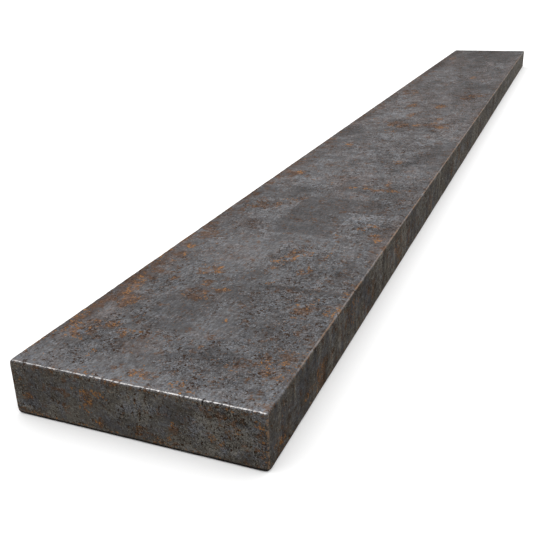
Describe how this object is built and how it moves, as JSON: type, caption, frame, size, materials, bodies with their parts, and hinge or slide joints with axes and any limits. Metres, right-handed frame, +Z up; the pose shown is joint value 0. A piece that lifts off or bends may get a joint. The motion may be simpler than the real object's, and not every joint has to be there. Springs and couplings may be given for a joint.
{
  "type": "metal flat bar",
  "caption": "Hot-rolled steel flat bar with mill scale and light rust, sawn square at both ends; stock for brackets, frames and base plates.",
  "frame": {"origin": "middle of the wide face that the bar lies on", "axes": "+X across the width, +Y along the length, +Z up through the thickness"},
  "size_m": [0.09, 0.9, 0.02],
  "materials": {
    "mill_scale_steel": "matte"
  },
  "bodies": {
    "root": {"flat_bar": "mill_scale_steel"}
  },
  "joints": []
}
